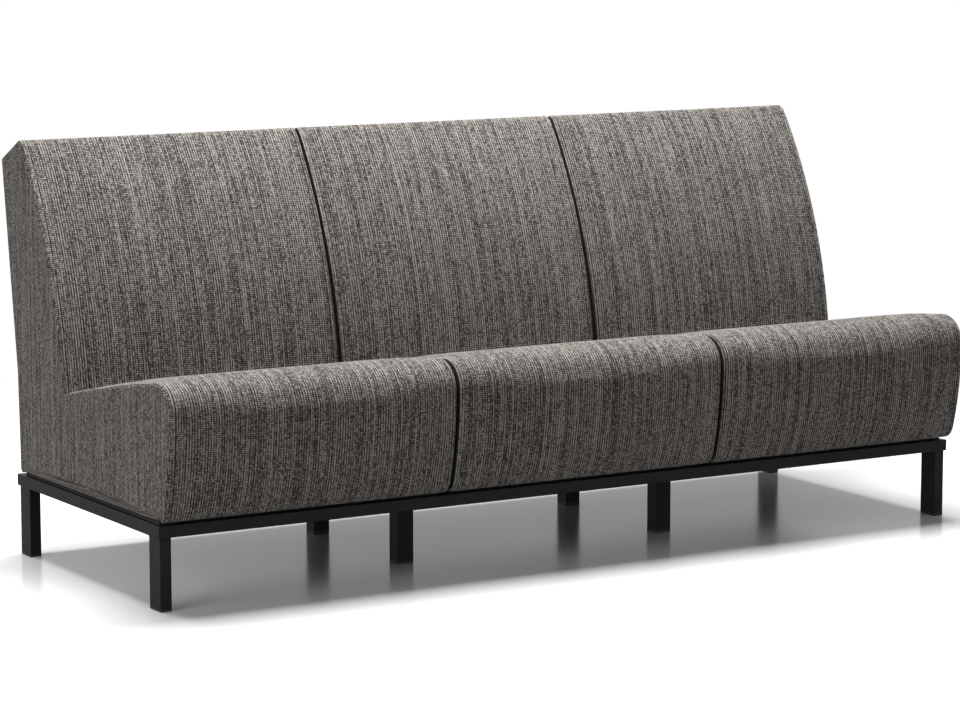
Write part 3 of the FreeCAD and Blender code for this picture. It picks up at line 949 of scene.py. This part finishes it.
def plywood(name, dark, pale, roughness):
    """Sanded plywood between two colours, with grain along each board."""
    material, tree, shader = new_material(name, roughness=roughness, ior=1.5, specular=0.3)
    place = add(tree, "TexCoord").outputs["Object"]
    axes = add(tree, "SeparateXYZ", {0: place})
    facing = add(tree, "SeparateXYZ", {0: add(tree, "NewGeometry").outputs["Normal"]})
    tilt = add(tree, "Math", {0: facing.outputs["X"]}, operation="ABSOLUTE")
    side_on = add(tree, "Math", {0: tilt, 1: 0.5}, operation="GREATER_THAN")
    lengthways = add(tree, "Mix", {"Factor": side_on, "A": axes.outputs["X"], "B": axes.outputs["Y"]})
    crossways = add(tree, "Mix", {"Factor": side_on, "A": axes.outputs["Y"], "B": axes.outputs["X"]})
    board = add(tree, "CombineXYZ", {"X": lengthways, "Y": crossways, "Z": axes.outputs["Z"]})
    long_scale = 1 / (grain_length * MM)
    fine_scale = 1 / (grain_width * MM)
    stretched = add(tree, "VectorMath", {0: board, 1: (long_scale, fine_scale, fine_scale)},
                    operation="MULTIPLY")
    grain = add(tree, "TexNoise", {"Vector": stretched, "Scale": 1.0, "Detail": 4.0, "Distortion": 0.4})
    veneer = add(tree, "TexNoise", {"Vector": place, "Scale": 1 / (veneer_patch * MM), "Detail": 1.0})
    tone = add(tree, "Mix", {"Factor": 0.3, "A": grain, "B": veneer})
    ramp = add(tree, "ValToRGB", {"Fac": tone})
    ramp.color_ramp.elements[0].position = 0.3
    ramp.color_ramp.elements[0].color = linear(dark)
    ramp.color_ramp.elements[1].position = 0.7
    ramp.color_ramp.elements[1].color = linear(pale)
    tree.links.new(ramp.outputs["Color"], shader.inputs["Base Color"])
    bump = add(tree, "Bump", {"Height": grain, "Strength": 0.3, "Distance": 0.1 * MM})
    tree.links.new(bump.outputs[0], shader.inputs["Normal"])
    return material


def hardboard():
    """Brown pressed fibre, mottled in small clumps."""
    material, tree, shader = new_material("brown_hardboard", roughness=0.7, ior=1.5, specular=0.3)
    place = add(tree, "TexCoord").outputs["Object"]
    clumps = add(tree, "TexNoise", {"Vector": place, "Scale": 1 / (fibre_lump * MM), "Detail": 4.0,
                                    "Roughness": 0.7})
    ramp = add(tree, "ValToRGB", {"Fac": clumps})
    ramp.color_ramp.elements[0].position = 0.3
    ramp.color_ramp.elements[0].color = linear("6b4a2f")
    ramp.color_ramp.elements[1].position = 0.75
    ramp.color_ramp.elements[1].color = linear("a07a54")
    tree.links.new(ramp.outputs["Color"], shader.inputs["Base Color"])
    bump = add(tree, "Bump", {"Height": clumps, "Strength": 0.4, "Distance": 0.2 * MM})
    tree.links.new(bump.outputs[0], shader.inputs["Normal"])
    return material


pale_birch = plywood("sanded_birch_plywood", "b98d58", "dfc196", 0.6)
stained_birch = plywood("black_stained_birch_plywood", "171615", "2b2825", 0.65)
brown_board = hardboard()
print("made", pale_birch.name + ",", stained_birch.name, "and", brown_board.name)

# %% [markdown]
# ## Webbing
#
# Elastic webbing is rubber cord under a tight weave: a dark strap with ribs along
# it. Every strap lies straight in front to rear or upright, so ribs that are spaced
# along X run along all of them.

# %% Elastic webbing
rib_pitch = 2.856
pick_pitch = 1.5
waves_per_unit = 20 / math.tau


def webbing_weave():
    """Dark strap with ribs along it."""
    material, tree, shader = new_material("ribbed_elastic_webbing", roughness=0.85, ior=1.5, specular=0.2)
    place = add(tree, "TexCoord").outputs["Object"]
    rib_scale = 1 / (rib_pitch * MM * waves_per_unit)
    ribs = add(tree, "TexWave", {"Vector": place, "Scale": rib_scale, "Distortion": 0.6,
                                 "Detail Scale": 60.0}, bands_direction="X")
    picks = add(tree, "TexNoise", {"Vector": place, "Scale": 1 / (pick_pitch * MM), "Detail": 1.0})
    tone = add(tree, "Mix", {"Factor": 0.4, "A": ribs.outputs["Fac"], "B": picks})
    ramp = add(tree, "ValToRGB", {"Fac": tone})
    ramp.color_ramp.elements[0].position = 0.2
    ramp.color_ramp.elements[0].color = linear("232220")
    ramp.color_ramp.elements[1].position = 0.8
    ramp.color_ramp.elements[1].color = linear("6e675c")
    tree.links.new(ramp.outputs["Color"], shader.inputs["Base Color"])
    bump = add(tree, "Bump", {"Height": ribs.outputs["Fac"], "Strength": 0.6, "Distance": 0.4 * MM})
    tree.links.new(bump.outputs[0], shader.inputs["Normal"])
    return material


webbing = webbing_weave()
print(len(webbing.node_tree.nodes), "nodes in", webbing.name)

# %% [markdown]
# ## Finishes on the solids
#
# A solid arrives with a plain material that is named for what it is made of. Each
# of those is swapped for its finish, so a board or screw that is added later gets
# its looks without another line.

# %% Give every solid its finish
finishes = {
    "black_powder_coated_steel": black_steel,
    "black_nylon": black_nylon,
    "zinc_plated_steel": bright_zinc,
    "birch_plywood": pale_birch,
    "black_stained_plywood": stained_birch,
    "hardboard": brown_board,
    "elastic_webbing": webbing,
}
finished = 0
for solid in nodes.values():
    slots = solid.data.materials
    for place, material in enumerate(slots):
        if material.name in finishes:
            slots[place] = finishes[material.name]
            finished += 1
print(finished, "solids finished")

# %% [markdown]
# ## Dust cloths
#
# Under each unit a sheet of black non-woven cloth is stapled to the base board. It
# hangs a few millimetres in the middle and ripples between its staples. One curved
# sheet says that better than a flat plate.

# %% Stapled dust cloth
sheet_steps = 48
sheet_sag = 5.0
staple_pitch = 60
ripple_depth = 0.7
ripple_reach = 35
staple_room = 0.4


def dust_cloth(unit):
    """A sagging sheet that takes the place of the unit's flat dust cover."""
    low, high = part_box(unit + "_dust_cover")
    width, length = high.x - low.x, high.y - low.y
    vertices, faces = [], []
    for i in range(sheet_steps + 1):
        for j in range(sheet_steps + 1):
            x, y = width * i / sheet_steps, length * j / sheet_steps
            edge = min(x, y, width - x, length - y) / MM
            sag = sheet_sag * math.sin(math.pi * i / sheet_steps) * math.sin(math.pi * j / sheet_steps)
            ripple = 0.5 - 0.5 * math.cos(math.tau * (x + y) / MM / staple_pitch)
            sag += ripple_depth * ripple * (1 - smooth_step(edge / ripple_reach))
            vertices.append((low.x + x, low.y + y, high.z - (staple_room + sag) * MM))
    row = sheet_steps + 1
    for i in range(sheet_steps):
        for j in range(sheet_steps):
            faces.append((i * row + j, i * row + j + 1, (i + 1) * row + j + 1, (i + 1) * row + j))
    data = bpy.data.meshes.new(unit + "_dust_cloth")
    data.from_pydata(vertices, [], faces)
    data.shade_smooth()
    data.materials.append(cambric_dust_and_gap_shade)
    made = bpy.data.objects.new(unit + "_dust_cloth", data)
    bpy.context.scene.collection.objects.link(made)
    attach(made, "root")
    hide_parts(unit + "_dust_cover")
    print(made.name, "cut to", round(width / MM), "by", round(length / MM), "mm")


for unit in unit_names:
    dust_cloth(unit)
